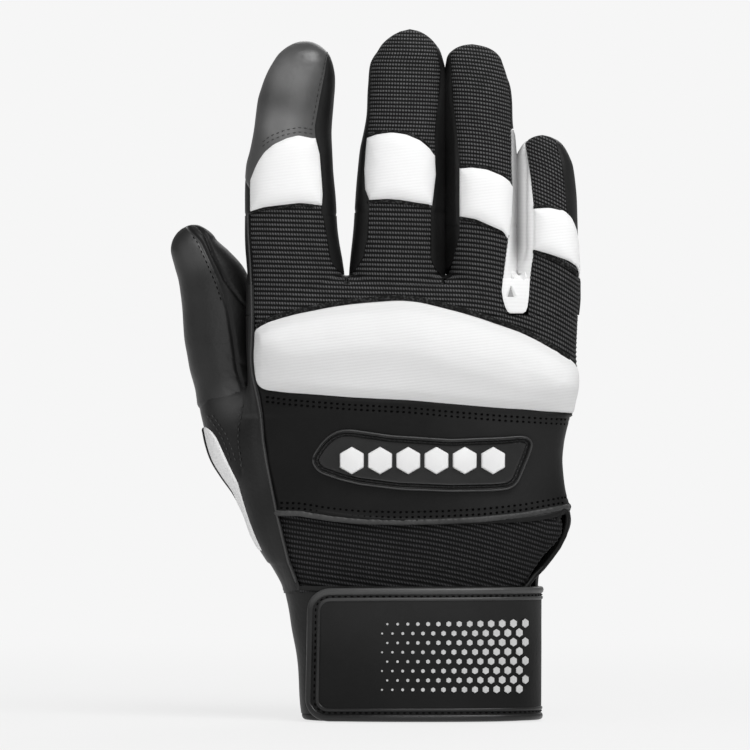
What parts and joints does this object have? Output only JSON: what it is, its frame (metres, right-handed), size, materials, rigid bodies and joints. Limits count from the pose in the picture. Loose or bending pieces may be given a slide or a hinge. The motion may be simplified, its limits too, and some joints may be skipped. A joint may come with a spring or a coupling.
{
  "type": "drummer glove",
  "caption": "Right-hand padded drumming glove standing on its cuff, with hinged fingers and thumb and a hook-and-loop wrist strap.",
  "frame": {"origin": "centre of the overall box, at the foot of the cuff hem that the glove stands on", "axes": "+Z from the cuff up the fingers, +X away from the thumb, -Y out of the back of the hand, +Y out of the palm"},
  "size_m": [0.1364, 0.0465, 0.2303],
  "materials": {
    "black_leather": "smooth black leather with a soft sheen",
    "gloss_leather": "semi-gloss dark grey leather",
    "black_knit": "matt black ribbed stretch knit",
    "white_knit": "white fine-ribbed knit",
    "white_side": "smooth white stretch leather",
    "black_rubber": "moulded satin black rubber",
    "white_rubber": "moulded white rubber",
    "silver_film": "silver reflective transfer",
    "foam": "open-cell foam",
    "black_webbing": "black woven and looped fabric"
  },
  "bodies": {
    "hand": {"fourchette_base": "white_side", "knuckle_knit_panel": "black_knit", "crescent_cover": "white_knit", "crescent_foam": "foam", "leather_band": "black_leather", "wrist_knit_panel": "black_knit", "badge_plate": "black_rubber", "badge_emblem": "white_rubber", "thumb_gusset": "white_side", "palm_leather": "black_leather", "palm_patch": "gloss_leather", "slit_binding": "black_leather", "cuff_band": "black_webbing", "cuff_hem": "black_leather", "cuff_lining": "black_knit", "size_tag": "white_side", "cuff_loop_patch": "black_webbing", "strap_anchor": "black_leather"},
    "strap": {"closure_strap": "black_leather", "strap_binding": "black_webbing", "strap_hook_patch": "black_webbing", "strap_transfer": "silver_film"},
    "index_lower": {"index_lower_knit": "black_knit", "index_pad_cover": "white_knit", "index_pad_foam": "foam", "index_lower_palm_skin": "black_leather"},
    "index_upper": {"index_leather_tip": "gloss_leather", "index_upper_palm_skin": "black_leather"},
    "middle_lower": {"middle_lower_knit": "black_knit", "middle_pad_cover": "white_knit", "middle_pad_foam": "foam", "middle_lower_palm_skin": "black_leather"},
    "middle_upper": {"middle_upper_knit": "black_knit", "middle_upper_palm_skin": "black_leather"},
    "ring_lower": {"ring_lower_knit": "black_knit", "ring_pad_cover": "white_knit", "ring_pad_foam": "foam", "ring_lower_palm_skin": "black_leather", "ring_fourchette_lower": "white_side"},
    "ring_upper": {"ring_upper_knit": "black_knit", "ring_upper_palm_skin": "black_leather", "ring_fourchette_upper": "white_side"},
    "pinky_lower": {"pinky_lower_knit": "black_knit", "pinky_pad_cover": "white_knit", "pinky_pad_foam": "foam", "pinky_lower_palm_skin": "black_leather", "pinky_fourchette_lower": "white_side"},
    "pinky_upper": {"pinky_upper_knit": "black_knit", "pinky_upper_palm_skin": "black_leather", "pinky_fourchette_upper": "white_side"},
    "thumb_lower": {"thumb_lower_back": "black_leather", "thumb_lower_front": "gloss_leather"},
    "thumb_upper": {"thumb_upper_back": "black_leather", "thumb_upper_front": "gloss_leather"}
  },
  "joints": [
    {"name": "index_knuckle", "type": "hinge", "parent": "hand", "child": "index_lower", "pos_m": [-0.027, 0.01075, 0.1527], "axis": [-1, 0, 0], "range_deg": [0, 70]},
    {"name": "index_middle", "type": "hinge", "parent": "index_lower", "child": "index_upper", "pos_m": [-0.027, 0.0105, 0.183], "axis": [-1, 0, 0], "range_deg": [0, 85]},
    {"name": "middle_knuckle", "type": "hinge", "parent": "hand", "child": "middle_lower", "pos_m": [0.008, 0.011, 0.154], "axis": [-1, 0, 0], "range_deg": [0, 70]},
    {"name": "middle_middle", "type": "hinge", "parent": "middle_lower", "child": "middle_upper", "pos_m": [0.008, 0.01075, 0.184], "axis": [-1, 0, 0], "range_deg": [0, 85]},
    {"name": "ring_knuckle", "type": "hinge", "parent": "hand", "child": "ring_lower", "pos_m": [0.0357, 0.0105, 0.1533], "axis": [-1, 0, 0], "range_deg": [0, 70]},
    {"name": "ring_middle", "type": "hinge", "parent": "ring_lower", "child": "ring_upper", "pos_m": [0.0357, 0.0104, 0.175], "axis": [-1, 0, 0], "range_deg": [0, 85]},
    {"name": "pinky_knuckle", "type": "hinge", "parent": "hand", "child": "pinky_lower", "pos_m": [0.058, 0.00925, 0.1427], "axis": [-1, 0, 0], "range_deg": [0, 70]},
    {"name": "pinky_middle", "type": "hinge", "parent": "pinky_lower", "child": "pinky_upper", "pos_m": [0.058, 0.00915, 0.1627], "axis": [-1, 0, 0], "range_deg": [0, 85]},
    {"name": "thumb_root", "type": "hinge", "parent": "hand", "child": "thumb_lower", "pos_m": [-0.0448, 0.0234, 0.112], "axis": [0.9397, -0.342, 0], "range_deg": [-40, 0]},
    {"name": "thumb_middle", "type": "hinge", "parent": "thumb_lower", "child": "thumb_upper", "pos_m": [-0.0482, 0.0231, 0.1389], "axis": [0.9397, -0.342, 0], "range_deg": [-65, 0]},
    {"name": "strap_opening", "type": "hinge", "parent": "hand", "child": "strap", "pos_m": [0.0568, 0.00035, 0.022], "axis": [0, 0, 1], "range_deg": [0, 150]}
  ]
}
